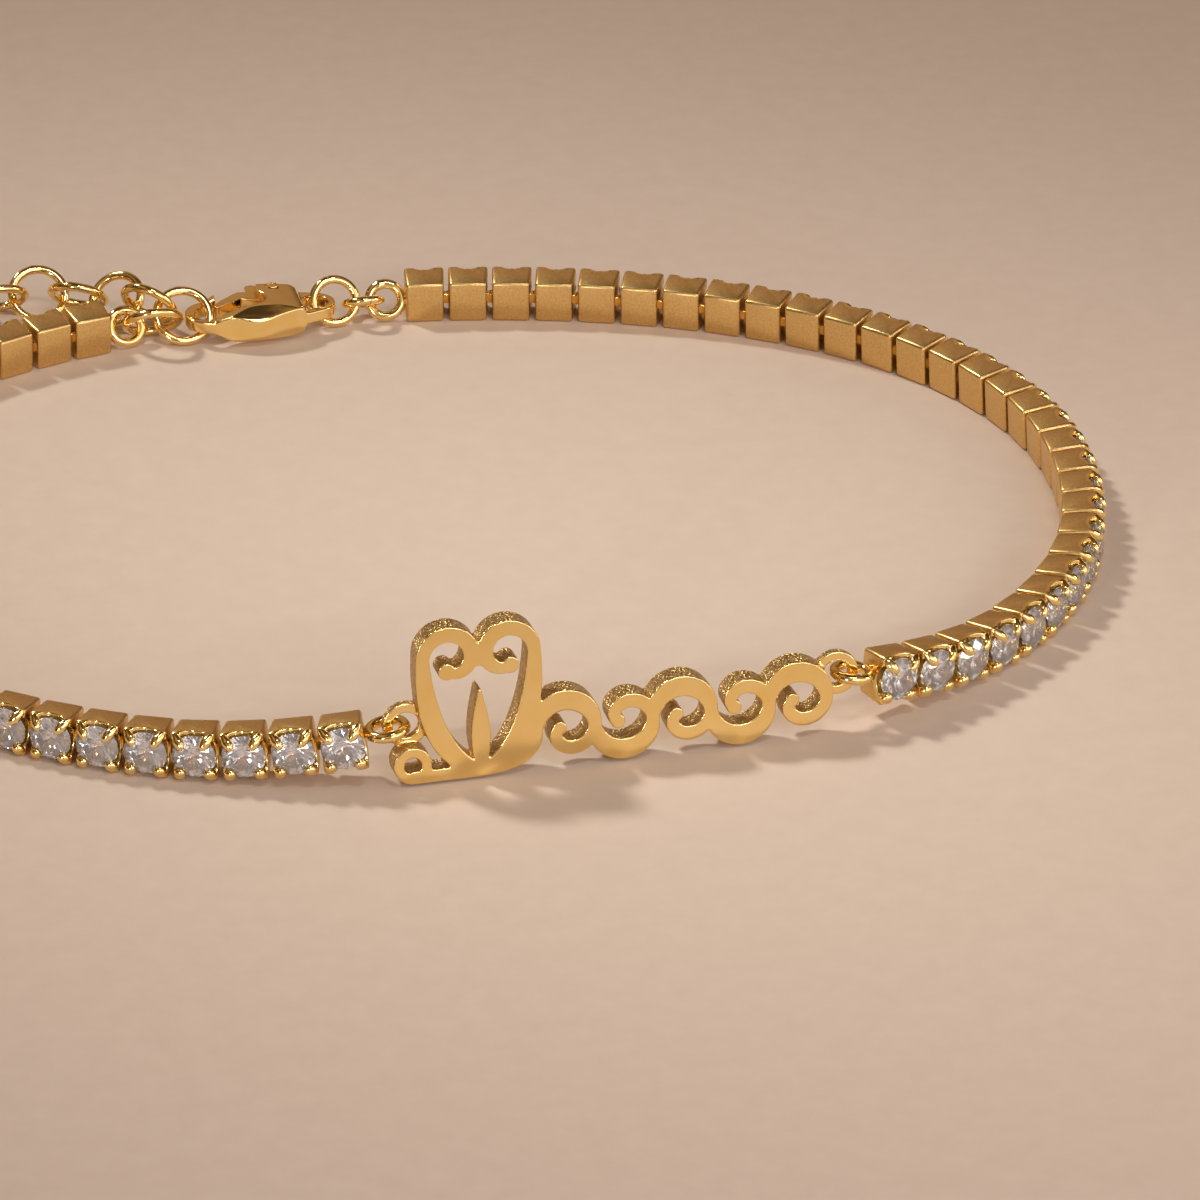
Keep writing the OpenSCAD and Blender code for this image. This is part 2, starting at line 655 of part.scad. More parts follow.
module clasp_pin() {
    color(gold) in_clasp() translate([pivot.x, pivot.y, 0])
        cylinder(h = clasp_t - 0.1, d = clasp_pin_d, center = true, $fn = round_fn);
}

// The lever: a hub on the pin, a gate that closes the hook and a tab for the thumb
module clasp_lever() {
    bend = [3.55, 1.4];
    tongue = [tip_u + 0.01, 0.5];
    arm_end = [tip_u - 0.5, 0.88];
    color(gold) in_clasp() difference() {
        linear_extrude(lever_t, center = true) {
            hull() {
                translate(pivot) circle(r = hub_r, $fn = 48);
                translate(bend) circle(r = 0.36, $fn = 32);
            }
            hull() {
                translate(bend) circle(r = 0.36, $fn = 32);
                translate(arm_end) circle(r = 0.27, $fn = 32);
            }
            hull() {
                translate(arm_end) circle(r = 0.27, $fn = 32);
                translate(tongue) circle(r = 0.2, $fn = 32);
            }
            hull() {
                translate([2.75, 1.5]) circle(r = 0.4, $fn = 32);
                translate([2.85, 2.1]) circle(r = 0.34, $fn = 32);
            }
        }
        translate([pivot.x, pivot.y, 0])
            cylinder(h = clasp_t, r = clasp_pin_d / 2 + lever_clear, center = true, $fn = round_fn);
    }
}

// The chain: one link in the left row's end ring, one caught by the clasp, then the free ones
module extension_chain() {
    color(gold) {
        in_clasp_run() {
            tilted_ring(first_link_u, link_r, link_wire, -link_angle, end_ring_z);
            tilted_ring(caught_u, link_r, link_wire, link_angle, clasp_z);
            translate([caught_u + chain_route[0].x, chain_route[0].y, first_free_z])
                rotate(first_free_turn) wire_ring(link_r, link_wire);
        }
        in_plan() for (k = [1 : free_links - 1]) {
            here = on_route(k * chain_pitch);
            next = on_route(k * chain_pitch + 0.1);
            translate([here.x, here.y, link_z])
                rotate([k % 2 == 0 ? link_angle : -link_angle, 0,
                    atan2(next.y - here.y, next.x - here.x)])
                    wire_ring(link_r, link_wire);
        }
    }
}

nameplate();
right_settings();
right_stones();
left_settings();
left_stones();
small_jump_ring();
large_jump_ring();
clasp_body();
clasp_pin();
clasp_lever();
extension_chain();
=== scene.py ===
# %% [markdown]
# # A nameplate bracelet
# Two rows of hinged stone settings run from an openwork nameplate to a clasp, and a short
# extension chain trails from the clasp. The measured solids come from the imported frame. This
# lesson dresses them: it models the settings, rings, clasp and nameplate again with finer
# forms, gives gold and stone their finishes, and sets up the light and the camera.

# %% Load the measured solids
import bpy
import math
import random
import numpy as np
from mathutils import Matrix, Vector


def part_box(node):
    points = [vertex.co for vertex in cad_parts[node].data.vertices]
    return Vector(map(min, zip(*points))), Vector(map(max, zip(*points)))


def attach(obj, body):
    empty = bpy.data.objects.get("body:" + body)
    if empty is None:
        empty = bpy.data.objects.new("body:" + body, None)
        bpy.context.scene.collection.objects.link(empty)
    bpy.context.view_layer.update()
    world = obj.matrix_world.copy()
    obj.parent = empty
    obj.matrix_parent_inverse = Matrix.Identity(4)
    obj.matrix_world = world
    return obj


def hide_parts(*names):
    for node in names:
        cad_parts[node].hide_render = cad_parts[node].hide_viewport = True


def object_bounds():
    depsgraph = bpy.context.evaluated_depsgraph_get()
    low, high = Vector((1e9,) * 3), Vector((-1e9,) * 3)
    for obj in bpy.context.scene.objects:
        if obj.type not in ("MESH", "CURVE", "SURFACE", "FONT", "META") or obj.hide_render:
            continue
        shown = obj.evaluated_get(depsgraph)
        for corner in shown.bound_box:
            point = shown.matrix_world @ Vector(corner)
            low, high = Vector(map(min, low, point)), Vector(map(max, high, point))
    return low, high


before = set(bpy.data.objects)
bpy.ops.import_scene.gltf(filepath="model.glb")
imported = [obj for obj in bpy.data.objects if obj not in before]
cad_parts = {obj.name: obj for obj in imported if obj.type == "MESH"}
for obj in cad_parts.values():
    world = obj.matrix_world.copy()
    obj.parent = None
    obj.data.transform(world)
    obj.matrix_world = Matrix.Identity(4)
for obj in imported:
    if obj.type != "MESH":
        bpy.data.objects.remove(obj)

measured_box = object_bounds()
print("solids:", len(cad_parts), "box:", measured_box)

# %% [markdown]
# ## Small helpers
# All sizes here are written in millimetres, as a goldsmith would say them, and turned to metres
# at the last step. Operators act on whatever is selected, so each step starts from nothing.

# %% Millimetres, selection and applied transforms
MM = 0.001


def select_only(*pieces):
    bpy.ops.object.select_all(action="DESELECT")
    for piece in pieces:
        piece.select_set(True)
    bpy.context.view_layer.objects.active = pieces[0]


def settle(piece):
    select_only(piece)
    bpy.ops.object.transform_apply(location=True, rotation=True, scale=True)
    return piece


def pick(piece, test, what="VERT"):
    select_only(piece)
    bpy.ops.object.mode_set(mode="EDIT")
    bpy.ops.mesh.select_mode(type=what)
    bpy.ops.mesh.select_all(action="DESELECT")
    bpy.ops.object.mode_set(mode="OBJECT")
    mesh = piece.data
    if what == "FACE":
        found = [p for p in mesh.polygons if test(p.center, p.normal)]
    else:
        found = [v for v in mesh.vertices if test(v.co)]
    for part in found:
        part.select = True
    bpy.ops.object.mode_set(mode="EDIT")


def done():
    bpy.ops.object.mode_set(mode="OBJECT")


def finish_with(piece, kind, **settings):
    select_only(piece)
    step = piece.modifiers.new(kind.title(), kind)
    for name, value in settings.items():
        setattr(step, name, value)
    bpy.ops.object.modifier_apply(modifier=step.name)
    return piece


def cut(piece, *cutters, operation="DIFFERENCE"):
    for cutter in cutters:
        finish_with(piece, "BOOLEAN", object=cutter, operation=operation, solver="EXACT")
        bpy.data.objects.remove(cutter, do_unlink=True)
    return piece


def joined(name, pieces):
    select_only(*pieces)
    if len(pieces) > 1:
        bpy.ops.object.join()
    whole = bpy.context.view_layer.objects.active
    whole.name = name
    whole.data.name = name
    return whole


def smooth(piece, degrees=35):
    select_only(piece)
    bpy.ops.object.shade_smooth_by_angle(angle=math.radians(degrees))


def copy_of(name, piece):
    copy = bpy.data.objects.new(name, piece.data.copy())
    bpy.context.scene.collection.objects.link(copy)
    return copy


def triangles(piece):
    return sum(len(p.vertices) - 2 for p in piece.data.polygons)


# %% [markdown]
# ## The camera
# The photograph looks down on the bracelet from the front and a little from the left, through
# a long lens. A long lens far away keeps the two rows nearly parallel, as in the picture.

# %% The photograph's camera
LOOK_AT = Vector((6.495, -11.459, 0)) * MM
ELEVATION = 27.955
AZIMUTH = -14.095
DISTANCE = 327.87 * MM
LENS = 210

e, a = math.radians(ELEVATION), math.radians(AZIMUTH)
towards_camera = Vector((math.sin(a) * math.cos(e), -math.cos(a) * math.cos(e), math.sin(e)))
bpy.ops.object.camera_add(location=LOOK_AT + towards_camera * DISTANCE)
camera = bpy.context.object
camera.name = "photo_camera"
camera.rotation_euler = (-towards_camera).to_track_quat("-Z", "Y").to_euler()
camera.data.lens = LENS
camera.data.sensor_width = 36
camera.data.clip_start = 0.01
camera.data.clip_end = 10
bpy.context.scene.view_settings.view_transform = "Standard"
bpy.context.scene.camera = camera
print("camera at", tuple(round(v, 4) for v in camera.location))

# %% [markdown]
# ## Materials
# A material is a small network of nodes. The gold needs three finishes. Claws, rims and rings
# are polished, so they show the studio as sharp reflections, broken only by fine marks from the
# buffing wheel. The walls of the settings are satin. The sides of the nameplate keep the grain
# of the casting, and their colour is also painted darker as painted shade. All patterns read
# Object coordinates, so they stay put on the metal.

# %% A helper that starts a material and lists its nodes by name
def new_material(name):
    material = bpy.data.materials.new(name)
    material.use_nodes = True
    tree = material.node_tree
    return material, tree, tree.nodes["Principled BSDF"]


def add_node(tree, kind, **values):
    node = tree.nodes.new(kind)
    for key, value in values.items():
        if key in node.inputs:
            node.inputs[key].default_value = value
        else:
            setattr(node, key, value)
    return node


def object_noise(tree, scale, detail=3, roughness=0.55, stretch=(1, 1, 1)):
    place = add_node(tree, "ShaderNodeTexCoord")
    turn = add_node(tree, "ShaderNodeMapping")
    turn.inputs["Scale"].default_value = stretch
    noise = add_node(tree, "ShaderNodeTexNoise", Scale=scale, Detail=detail, Roughness=roughness)
    tree.links.new(place.outputs["Object"], turn.inputs["Vector"])
    tree.links.new(turn.outputs["Vector"], noise.inputs["Vector"])
    return noise.outputs["Fac"]


def spread(tree, value, low, high, start=0.3, end=0.7):
    node = add_node(tree, "ShaderNodeMapRange")
    node.inputs["From Min"].default_value = start
    node.inputs["From Max"].default_value = end
    node.inputs["To Min"].default_value = low
    node.inputs["To Max"].default_value = high
    tree.links.new(value, node.inputs["Value"])
    return node.outputs["Result"]


def blend_colours(tree, factor, first, second):
    mix = add_node(tree, "ShaderNodeMix", data_type="RGBA")
    for socket, colour in ((mix.inputs[6], first), (mix.inputs[7], second)):
        if isinstance(colour, tuple):
            socket.default_value = colour
        else:
            tree.links.new(colour, socket)
    tree.links.new(factor, mix.inputs[0])
    return mix.outputs[2]


def blend_values(tree, factor, first, second):
    mix = add_node(tree, "ShaderNodeMix", data_type="FLOAT")
    for socket, value in ((0, factor), (2, first), (3, second)):
        tree.links.new(value, mix.inputs[socket])
    return mix.outputs[0]


def bump_from(tree, shader, height, strength, distance):
    bump = add_node(tree, "ShaderNodeBump", Strength=strength, Distance=distance)
    tree.links.new(height, bump.inputs["Height"])
    tree.links.new(bump.outputs["Normal"], shader.inputs["Normal"])


# %% Polished gold: warm, sharp reflections with soft buffing marks
WARM_GOLD = (0.97, 0.68, 0.24, 1)
PALE_GOLD = (1.0, 0.76, 0.33, 1)


def make_polished_gold():
    material, tree, shader = new_material("polished_gold")
    shader.inputs["Metallic"].default_value = 1
    slow = object_noise(tree, 900, detail=2)
    fine = object_noise(tree, 9000, detail=4, stretch=(1, 1, 0.3))
    tone = blend_colours(tree, spread(tree, slow, 0, 1), WARM_GOLD, PALE_GOLD)
    tree.links.new(tone, shader.inputs["Base Color"])
    tree.links.new(spread(tree, fine, 0.07, 0.15), shader.inputs["Roughness"])
    bump_from(tree, shader, object_noise(tree, 1500, detail=2), 0.12, 0.00004)
    return material


polished_gold = make_polished_gold()
print("made", polished_gold.name)

# %% [markdown]
# The nameplate shows two finishes on one casting. Its front and its rounded edge are polished,
# and the walls of the openwork keep a fine grain. The walls' colour is also painted darker
# than the front, as painted shade in the openwork. The face's own direction tells them apart:
# the front looks out along the plate's normal, and the walls look across it.

# %% Nameplate gold: polished where it faces the reader, grained and darkened with painted shade on its walls
PLATE_LEAN = math.radians(6)
# The walls' darkest tone is a deep brown: partly the cast grain, partly painted shade on the
# openwork walls
PAINTED_SHADE_DARK_GRAIN = (0.26, 0.14, 0.04, 1)
LIGHT_GRAIN = (1.0, 0.72, 0.30, 1)
plate_front = Vector((0, -math.cos(PLATE_LEAN), math.sin(PLATE_LEAN)))


def make_plate_gold():
    material, tree, shader = new_material("nameplate_gold")
    shader.inputs["Metallic"].default_value = 1
    geometry = add_node(tree, "ShaderNodeNewGeometry")
    across = add_node(tree, "ShaderNodeVectorMath", operation="DOT_PRODUCT")
    across.inputs[1].default_value = plate_front
    tree.links.new(geometry.outputs["Normal"], across.inputs[0])
    facing = add_node(tree, "ShaderNodeMath", operation="ABSOLUTE")
    tree.links.new(across.outputs["Value"], facing.inputs[0])
    wall = spread(tree, facing.outputs["Value"], 1, 0, 0.12, 0.42)
    grain = object_noise(tree, 8500, detail=5, roughness=0.75)
    pits = add_node(tree, "ShaderNodeTexVoronoi", Scale=7500)
    place = add_node(tree, "ShaderNodeTexCoord")
    tree.links.new(place.outputs["Object"], pits.inputs["Vector"])
    slow = object_noise(tree, 500, detail=3)
    front_tone = blend_colours(tree, spread(tree, slow, 0, 1), WARM_GOLD, PALE_GOLD)
    # Painted shade: the wall tone runs down to a deep brown, darker than the gold itself, on top
    # of the real grain
    wall_tone = blend_colours(tree, spread(tree, grain, 0, 1), PAINTED_SHADE_DARK_GRAIN, LIGHT_GRAIN)
    tree.links.new(blend_colours(tree, wall, front_tone, wall_tone), shader.inputs["Base Color"])
    front_rough = spread(tree, object_noise(tree, 6000, detail=4), 0.09, 0.17)
    wall_rough = spread(tree, grain, 0.24, 0.46)
    tree.links.new(blend_values(tree, wall, front_rough, wall_rough),
                   shader.inputs["Roughness"])
    height = add_node(tree, "ShaderNodeMath", operation="MULTIPLY")
    tree.links.new(pits.outputs["Distance"], height.inputs[0])
    tree.links.new(wall, height.inputs[1])
    bump_from(tree, shader, height.outputs["Value"], 1.0, 0.00012)
    return material


plate_gold = make_plate_gold()
print("made", plate_gold.name)

# %% [markdown]
# ## Gold of the settings
# Each box has satin walls and a polished rim that follows the scooped edge. The rim's line is
# not on the mesh. Each box carries a flat map of its walls, across and outwards in steps of
# 4 mm, and the material measures how far a point lies from the scoop's circle. A noise moves
# that distance a little, so the rim's edge is uneven.

# %% Settings gold: satin walls with an uneven polished rim
SETTING_W = 2.04
SETTING_BACK_W = 1.88
SETTING_H = 2.35
SETTING_BACK_H = 2.15
SETTING_DEPTH = 1.72
SCOOP_DEPTH = 0.28
SCOOP_R = 0.8
SIDE_SCOOP_DEPTH = 0.45
LOW_SCOOP_DEPTH = 0.5
SIDE_SCOOP_R = 0.9
RIM_W = 0.17
RIM_WOBBLE = 0.16
RIM_FADE = 0.012
UV_STEP = 4.0
DARK_SATIN = (0.66, 0.42, 0.15, 1)
LIGHT_SATIN = (0.88, 0.62, 0.26, 1)


def make_setting_gold():
    material, tree, shader = new_material("setting_gold")
    shader.inputs["Metallic"].default_value = 1
    walls = add_node(tree, "ShaderNodeUVMap", uv_map="walls")
    centre = add_node(tree, "ShaderNodeVectorMath", operation="DISTANCE")
    centre.inputs[1].default_value = (0, (SETTING_DEPTH - SCOOP_DEPTH + SCOOP_R) / UV_STEP, 0)
    tree.links.new(walls.outputs["UV"], centre.inputs[0])
    ragged = object_noise(tree, 3500, detail=3)
    wobble = add_node(tree, "ShaderNodeMath", operation="MULTIPLY_ADD")
    wobble.inputs[1].default_value = RIM_WOBBLE / UV_STEP
    tree.links.new(ragged, wobble.inputs[0])
    tree.links.new(centre.outputs["Value"], wobble.inputs[2])
    edge = (SCOOP_R + RIM_W + RIM_WOBBLE / 2) / UV_STEP
    satin = spread(tree, wobble.outputs["Value"], 0, 1, edge - RIM_FADE, edge + RIM_FADE)
    grain = object_noise(tree, 12000, detail=4, roughness=0.65)
    slow = object_noise(tree, 1100, detail=2)
    rim_tone = blend_colours(tree, spread(tree, slow, 0, 1), WARM_GOLD, PALE_GOLD)
    wall_tone = blend_colours(tree, spread(tree, grain, 0, 1), DARK_SATIN, LIGHT_SATIN)
    tree.links.new(blend_colours(tree, satin, rim_tone, wall_tone), shader.inputs["Base Color"])
    rim_rough = spread(tree, grain, 0.10, 0.18)
    wall_rough = spread(tree, grain, 0.28, 0.42)
    tree.links.new(blend_values(tree, satin, rim_rough, wall_rough), shader.inputs["Roughness"])
    bump_from(tree, shader, object_noise(tree, 5000, detail=4), 0.16, 0.00006)
    return material


setting_gold = make_setting_gold()
print("made", setting_gold.name)

# %% [markdown]
# ## Stones
# A round brilliant is clear and bends light strongly, so its facets show the studio as small
# white and dark wedges. The cut stones are already exact solids, with a table, a crown and a
# pavilion, so they only need their glass. A trace of lilac and a faint cloud keep it from
# looking like empty air.

# %% Clear stone
def make_clear_stone():
    material, tree, shader = new_material("clear_stone")
    shader.inputs["Transmission Weight"].default_value = 0.87
    shader.inputs["IOR"].default_value = 2.1
    cloud = object_noise(tree, 700, detail=2)
    tone = blend_colours(tree, spread(tree, cloud, 0, 1), (0.97, 0.96, 1.0, 1),
                         (1.0, 0.985, 0.975, 1))
    tree.links.new(tone, shader.inputs["Base Color"])
    polish = object_noise(tree, 8000, detail=2)
    tree.links.new(spread(tree, polish, 0.0, 0.03), shader.inputs["Roughness"])
    return material


clear_stone = make_clear_stone()


def dress(piece, material):
    piece.data.materials.clear()
    piece.data.materials.append(material)
    for face in piece.data.polygons:
        face.material_index = 0


def dress_node(name, material):
    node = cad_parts[name]
    if not node.material_slots:
        node.data.materials.append(material)
    for slot in node.material_slots:
        slot.material = material


for name in ("right_stones", "left_stones"):
    dress_node(name, clear_stone)
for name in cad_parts:
    if "stones" not in name:
        dress_node(name, polished_gold)
print("stones:", triangles(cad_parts["right_stones"]), "triangles in the right row")

# %% [markdown]
# ## Where each link lies
# The rows lie on one soft oval. Each link is a chord of it from hinge to hinge. Walking along
# the oval with the same lengths as the measured solids gives every link its own frame: one axis
# along the row, one outwards through the stone, one up. The first links ride up a little where
# the nameplate lifts them.

# %% The oval and the walk along it
STONES = 31
LOOP_ASPECT = 0.77
LOOP_FULLNESS = 2.2
PLATE_TURN = 12
ROW_LIFT = 1.1
LIFT_LINKS = 5
SETTING_GAP = 0.16
PIN_INSET = 0.36
END_RING_D = 2.15
END_RING_WIRE = 0.5
PLATE_RING_X = 9.95
PLATE_RING_R = 0.825
CLASP_SPAN = 13.305
# Height of a row's first ring above the origin of its first link
RING_LEVEL = 0.276812

pitch = SETTING_W + SETTING_GAP
eye_reach = PIN_INSET + SETTING_GAP
ring_reach = END_RING_D / 2 - 0.1
end_ring_r = (END_RING_D - END_RING_WIRE) / 2
wall_tilt = math.atan((SETTING_H - SETTING_BACK_H) / 2 / SETTING_DEPTH)
hinge_z = SETTING_BACK_H / 2 * math.cos(wall_tilt)
lengths = [ring_reach + SETTING_W - PIN_INSET] + [pitch] * (STONES - 2)
lengths.append(eye_reach + SETTING_W + ring_reach)
plate_span = 2 * (PLATE_RING_X + PLATE_RING_R - 0.05)


def lift(i):
    return 0 if i >= LIFT_LINKS else ROW_LIFT * (1 - i / LIFT_LINKS) ** 2


def oval(t, half):
    c, s = math.cos(t), math.sin(t)
    power = 2 / LOOP_FULLNESS
    return Vector((half * math.copysign(abs(c) ** power, c),
                   half * LOOP_ASPECT * math.copysign(abs(s) ** power, s)))


def step_on(t, length, half, way):
    low, high = 0.0, math.radians(70)
    start = oval(t, half)
    for _ in range(24):
        middle = (low + high) / 2
        if (oval(t + way * middle, half) - start).length < length:
            low = middle
        else:
            high = middle
    return t + way * (low + high) / 2


def walk(half):
    left = step_on(math.radians(PLATE_TURN - 90), plate_span / 2, half, -1)
    right = step_on(left, plate_span, half, 1)
    rows = []
    for t, way in ((right, 1), (left, -1)):
        angles = [t]
        for i, length in enumerate(lengths):
            flat = math.sqrt(length ** 2 - (lift(i + 1) - lift(i)) ** 2)
            angles.append(step_on(angles[-1], flat, half, way))
        rows.append([oval(angle, half) for angle in angles])
    return rows


around = plate_span + 2 * sum(lengths) + CLASP_SPAN
# An oval of this kind is between 5 and 6.2 of its half widths round
small, large = around / 6.2, around / 5
for _ in range(14):
    half = (small + large) / 2
    right_row, left_row = walk(half)
    if (right_row[-1] - left_row[-1]).length < CLASP_SPAN:
        small = half
    else:
        large = half
right_row, left_row = walk((small + large) / 2)
turn = right_row[0] - left_row[0]
centre = (right_row[0] + left_row[0]) / 2
back = Matrix.Rotation(-math.atan2(turn.y, turn.x), 2)
right_row = [back @ (p - centre) for p in right_row]
left_row = [back @ (p - centre) for p in left_row]
print("oval's half width:", round((small + large) / 2, 2), "mm")


# %% The frame of each link, checked against the measured stones
def link_frames(row, side):
    frames = []
    for i in range(STONES):
        flat = row[i + 1] - row[i]
        along = Vector((flat.x, flat.y, lift(i + 1) - lift(i))).normalized()
        outward = Vector((flat.y, -flat.x, 0)).normalized() * side
        up = along.cross(outward)
        if up.z < 0:
            up = -up
        place = Matrix((along, outward, up)).transposed().to_4x4()
        place.translation = Vector((row[i].x, row[i].y, hinge_z + lift(i)))
        frames.append(place)
    return frames


BACK_Y = 0.70
GIRDLE_Y = SETTING_DEPTH - 0.06
right_frames = link_frames(right_row, 1)
left_frames = link_frames(left_row, -1)


def box_frame(i):
    reach = ring_reach if i == 0 else eye_reach
    return (Matrix.Translation((reach + SETTING_W / 2, -BACK_Y, 0))
            @ Matrix.Rotation(wall_tilt, 4, "X"))


def node_points(name):
    points = np.empty(len(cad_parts[name].data.vertices) * 3)
    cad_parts[name].data.vertices.foreach_get("co", points)
    return points.reshape(-1, 3) / MM


def middle_of(points):
    return Vector((points.max(0) + points.min(0)) / 2)


def stone_box(frames):
    places = [f @ box_frame(i) @ Vector((0, GIRDLE_Y - 0.22, 0)) for i, f in enumerate(frames)]
    return middle_of(np.array([tuple(p) for p in places]))


shifts = [middle_of(node_points(n)) - stone_box(f) for n, f in
          (("right_stones", right_frames), ("left_stones", left_frames))]
to_frame = Vector(((shifts[0].x + shifts[1].x) / 2, (shifts[0].y + shifts[1].y) / 2, 0))
print("plan shift from each row:", [tuple(round(v, 3) for v in s) for s in shifts])

# %% [markdown]
# ## One setting
# A setting is a small tapered box. A goldsmith casts it with a round seat for the stone, and
# scoops out each wall between the claws so that light comes in. The bottom wall is scooped
# deeper than the top one, so that more of the stone shows below. Here it starts as a cube, is
# tapered and softened in edit mode, and then the seat and the scoops are cut away, as with a
# bur and a round file. It is made once and copied along both rows.

# %% Sizes of the seat, the claws and the hinge
STONE_R = 1.01
SEAT_CLEAR = 0.03
PAVILION_H = 0.8
GIRDLE_T = 0.06
CROWN_H = 0.3
TABLE_SHARE = 0.55
PIN_D = 0.28
EYE_R = 0.42
EYE_T = 0.5
EYE_HOLE_R = 0.26
SLOT_R = 0.54
SLOT_H = 0.84
TONGUE_W = 0.448
# How far a tongue reaches into its own box, and the hair that keeps two faces from coinciding
TONGUE_IN = 0.2
HAIR = 0.001


# %% The box: a cube, tapered to the back and softened along its edges
def make_box():
    bpy.ops.mesh.primitive_cube_add(size=1, location=(0, SETTING_DEPTH / 2, 0))
    box = bpy.context.object
    box.scale = (SETTING_W, SETTING_DEPTH, SETTING_H)
    settle(box)
    pick(box, lambda co: co.y < 0.01)
    bpy.ops.transform.resize(
        value=(SETTING_BACK_W / SETTING_W, 1, SETTING_BACK_H / SETTING_H),
        center_override=(0, 0, 0))
    bpy.ops.mesh.select_all(action="SELECT")
    bpy.ops.mesh.bevel(offset=0.15, segments=3, affect="EDGES")
    done()
    return box


# %% The bur: a cylinder whose lower end is drawn out to a point under the stone
BUR_H = 0.6


def make_seat_bur():
    bpy.ops.mesh.primitive_cylinder_add(
        vertices=40, radius=STONE_R + SEAT_CLEAR, depth=BUR_H,
        location=(0, GIRDLE_Y - GIRDLE_T + BUR_H / 2, 0), rotation=(math.pi / 2, 0, 0))
    bur = settle(bpy.context.object)
    pick(bur, lambda at, normal: normal.y < -0.9, "FACE")
    bpy.ops.mesh.extrude_region_move(
        TRANSFORM_OT_translate={"value": (0, -PAVILION_H, 0)})
    low = GIRDLE_Y - GIRDLE_T - PAVILION_H
    bpy.ops.transform.resize(value=(0.04, 1, 0.04), center_override=(0, low, 0))
    done()
    return bur


# %% The round files that scoop the walls
FILE_LENGTH = 4
# A file shifted this far down cuts the bottom wall alone
LOW_FILE_SHIFT = -2.6


def make_file(radius, depth_in, along, shift=0.0):
    turn = (0, 0, 0) if along == "Z" else (0, math.pi / 2, 0)
    bpy.ops.mesh.primitive_cylinder_add(
        vertices=36, radius=radius, depth=FILE_LENGTH, rotation=turn,
        location=(0, SETTING_DEPTH - depth_in + radius, shift))
    return settle(bpy.context.object)


# %% The slot for the next link's eye
def make_slot(pin_x):
    bpy.ops.mesh.primitive_cylinder_add(
        vertices=28, radius=SLOT_R, depth=SLOT_H, location=(pin_x, 0, 0))
    slot = settle(bpy.context.object)
    bpy.ops.mesh.primitive_cube_add(size=1, location=(pin_x + 1, 0, 0))
    mouth = bpy.context.object
    mouth.scale = (2, 2 * SLOT_R * (1 - HAIR), SLOT_H * (1 - HAIR))
    settle(mouth)
    return cut(slot, mouth, operation="UNION")


# %% The stone's own room, which the bearing cutter takes out of each claw
CROWN_SLOPE = CROWN_H / (STONE_R * (1 - TABLE_SHARE))
ROOM_CLEAR = 0.02


def make_stone_room():
    low = GIRDLE_Y - ROOM_CLEAR
    high = GIRDLE_Y + GIRDLE_T + ROOM_CLEAR / 2
    room_r = STONE_R + ROOM_CLEAR
    bpy.ops.mesh.primitive_cylinder_add(
        vertices=48, radius=room_r, depth=high - low,
        location=(0, (low + high) / 2, 0), rotation=(math.pi / 2, 0, 0))
    room = settle(bpy.context.object)
    pick(room, lambda at, normal: normal.y > 0.9, "FACE")
    bpy.ops.mesh.extrude_region_move(
        TRANSFORM_OT_translate={"value": (0, CROWN_H, 0)})
    share = (STONE_R * TABLE_SHARE + ROOM_CLEAR) / room_r
    bpy.ops.transform.resize(value=(share, 1, share), center_override=(0, high, 0))
    done()
    return room


# %% A claw: a bead drawn out into a drop, laid over the crown and fitted to the stone
# Of a drop: its tip's distance from the stone's middle, half its width, height and length, and
# the height of its middle above the crown. The top claws are long and the bottom ones round.
TOP_CLAW = (0.63, 0.25, 0.22, 0.50, 0.12)
LOW_CLAW = (0.80, 0.29, 0.26, 0.33, 0.05)
CLAW_INSET = 0.23
# The top claws narrow twice towards their outer ends: from where, and to what share
CLAW_TAPERS = ((0, 0.84), (-0.28, 0.9))


def make_claw(sx, sz):
    end_r, across_r, above_r, half_long, above_crown = TOP_CLAW if sz > 0 else LOW_CLAW
    towards = Vector((sx * (SETTING_W / 2 - CLAW_INSET), 0,
                      sz * (SETTING_H / 2 - CLAW_INSET))).normalized()
    along = Vector((-towards.x, CROWN_SLOPE, -towards.z)).normalized()
    middle_r = end_r + half_long * math.hypot(along.x, along.z)
    surface_y = GIRDLE_Y + GIRDLE_T + CROWN_SLOPE * (STONE_R - middle_r)
    bpy.ops.mesh.primitive_uv_sphere_add(segments=18, ring_count=12, radius=1)
    claw = bpy.context.object
    claw.scale = (above_r, across_r, half_long)
    settle(claw)
    for start, share in CLAW_TAPERS if sz > 0 else ():
        pick(claw, lambda co: co.z < start)
        bpy.ops.transform.resize(value=(share, share, 1), center_override=(0, 0, 0))
        done()
    across = along.cross(Vector((0, 1, 0))).normalized()
    above = across.cross(along).normalized()
    place = Matrix((above, across, along)).transposed().to_4x4()
    place.translation = Vector((towards.x * middle_r, surface_y + above_crown,
                                towards.z * middle_r))
    claw.data.transform(place)
    if place.determinant() < 0:
        claw.data.flip_normals()
    return cut(claw, make_stone_room())


# %% A ring of round wire: a circle spun round an axis, closed or with a fine butt joint
RING_STEPS = 48
WIRE_SIDES = 14
# The soldered joint of a closed ring swells the wire a little over a short stretch
SWELLING = 1.09
SWELLING_HALF = 0.11


